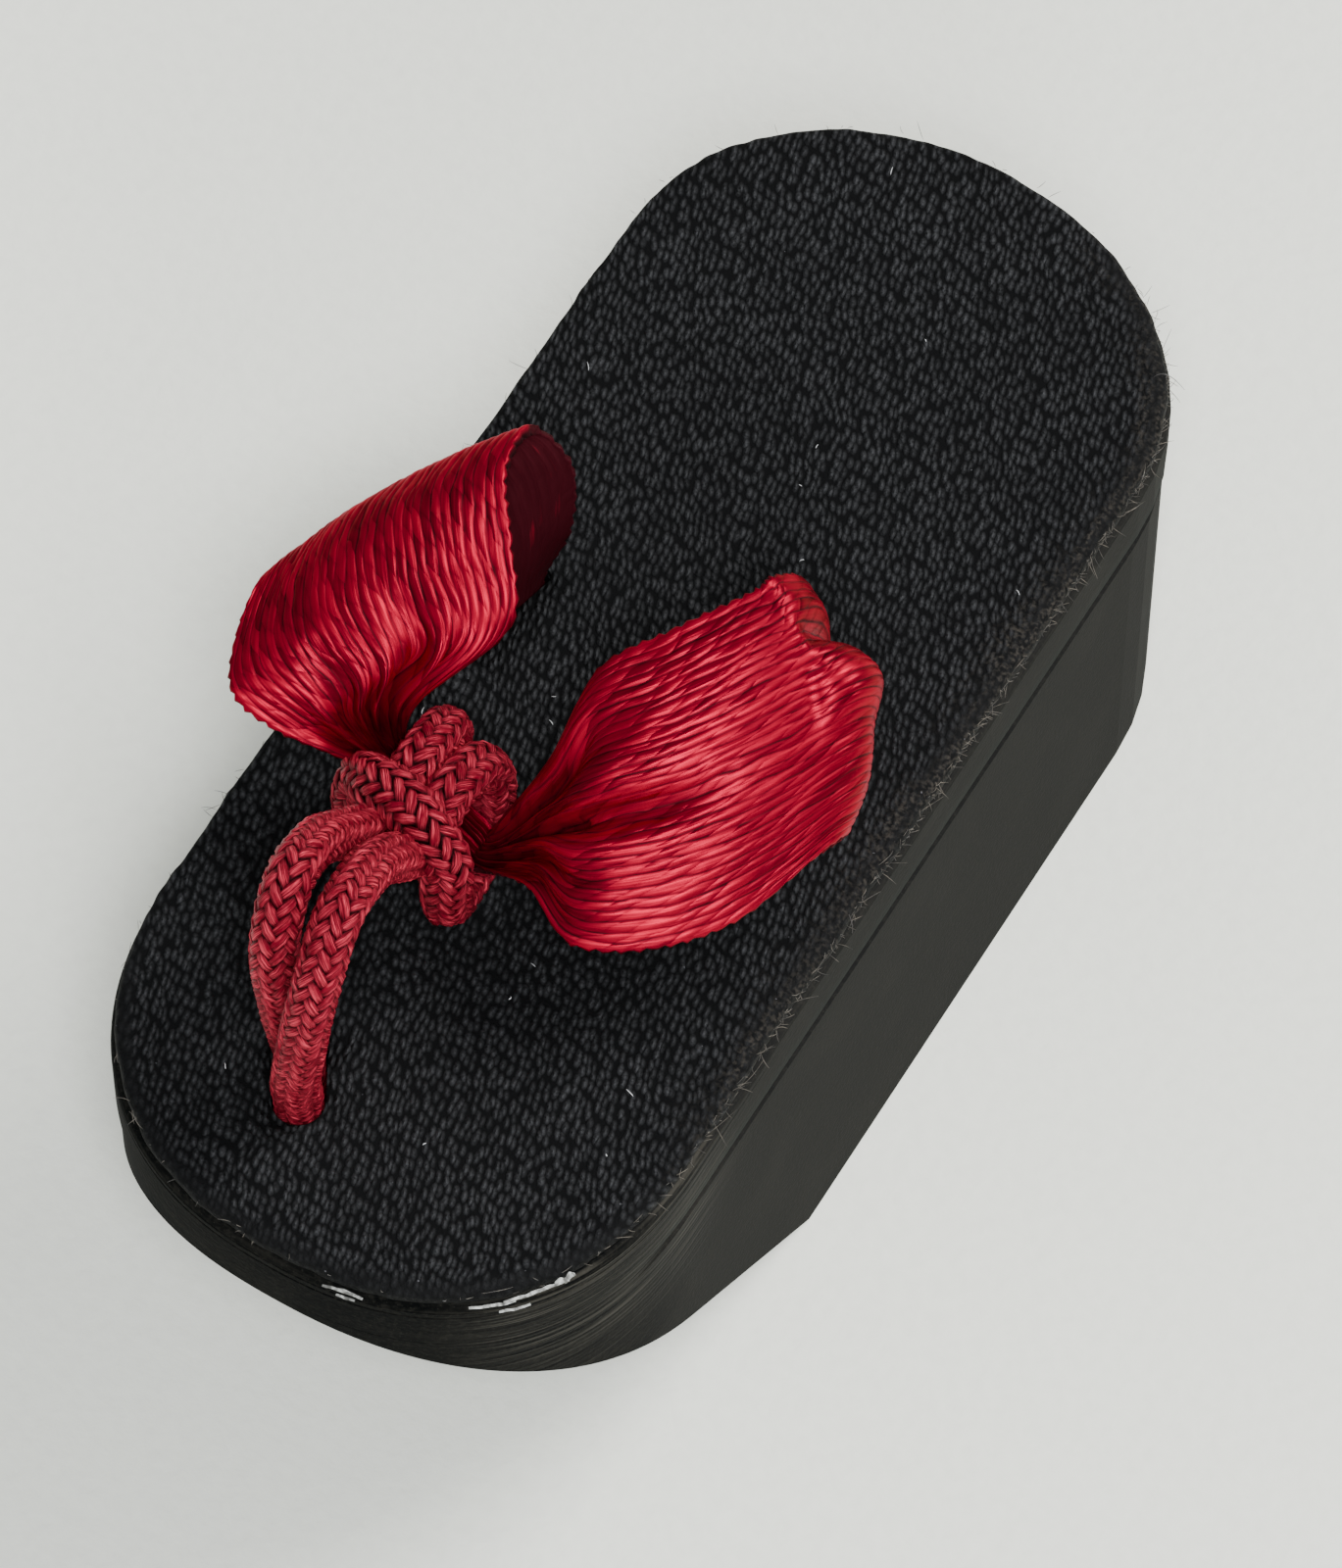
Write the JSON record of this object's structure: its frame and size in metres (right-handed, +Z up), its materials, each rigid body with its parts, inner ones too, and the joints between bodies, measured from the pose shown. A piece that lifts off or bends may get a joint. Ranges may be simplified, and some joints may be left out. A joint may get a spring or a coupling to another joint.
{
  "type": "doll geta sandal",
  "caption": "Doll's tall platform sandal with a sloped toe, a cloth insole, a looped satin ribbon strap and a braided toe cord tied in a lark's head knot.",
  "frame": {"origin": "on the floor, in the flat bottom, under the middle of the sole's length and width", "axes": "+Z up, -Y towards the toe, +X towards the shoe's outer side"},
  "size_m": [0.0137, 0.0304, 0.0194],
  "materials": {
    "sole_plastic": "black printed plastic, satin, with fine layer lines",
    "insole_fabric": "black twill cloth, matte",
    "ribbon_satin": "crimson satin with fine lengthwise ribs",
    "cord_braid": "crimson herringbone braid, silky"
  },
  "bodies": {
    "root": {"sole_block": "sole_plastic", "insole_cloth": "insole_fabric", "ribbon_strap": "ribbon_satin", "toe_cord": "cord_braid"}
  },
  "joints": []
}
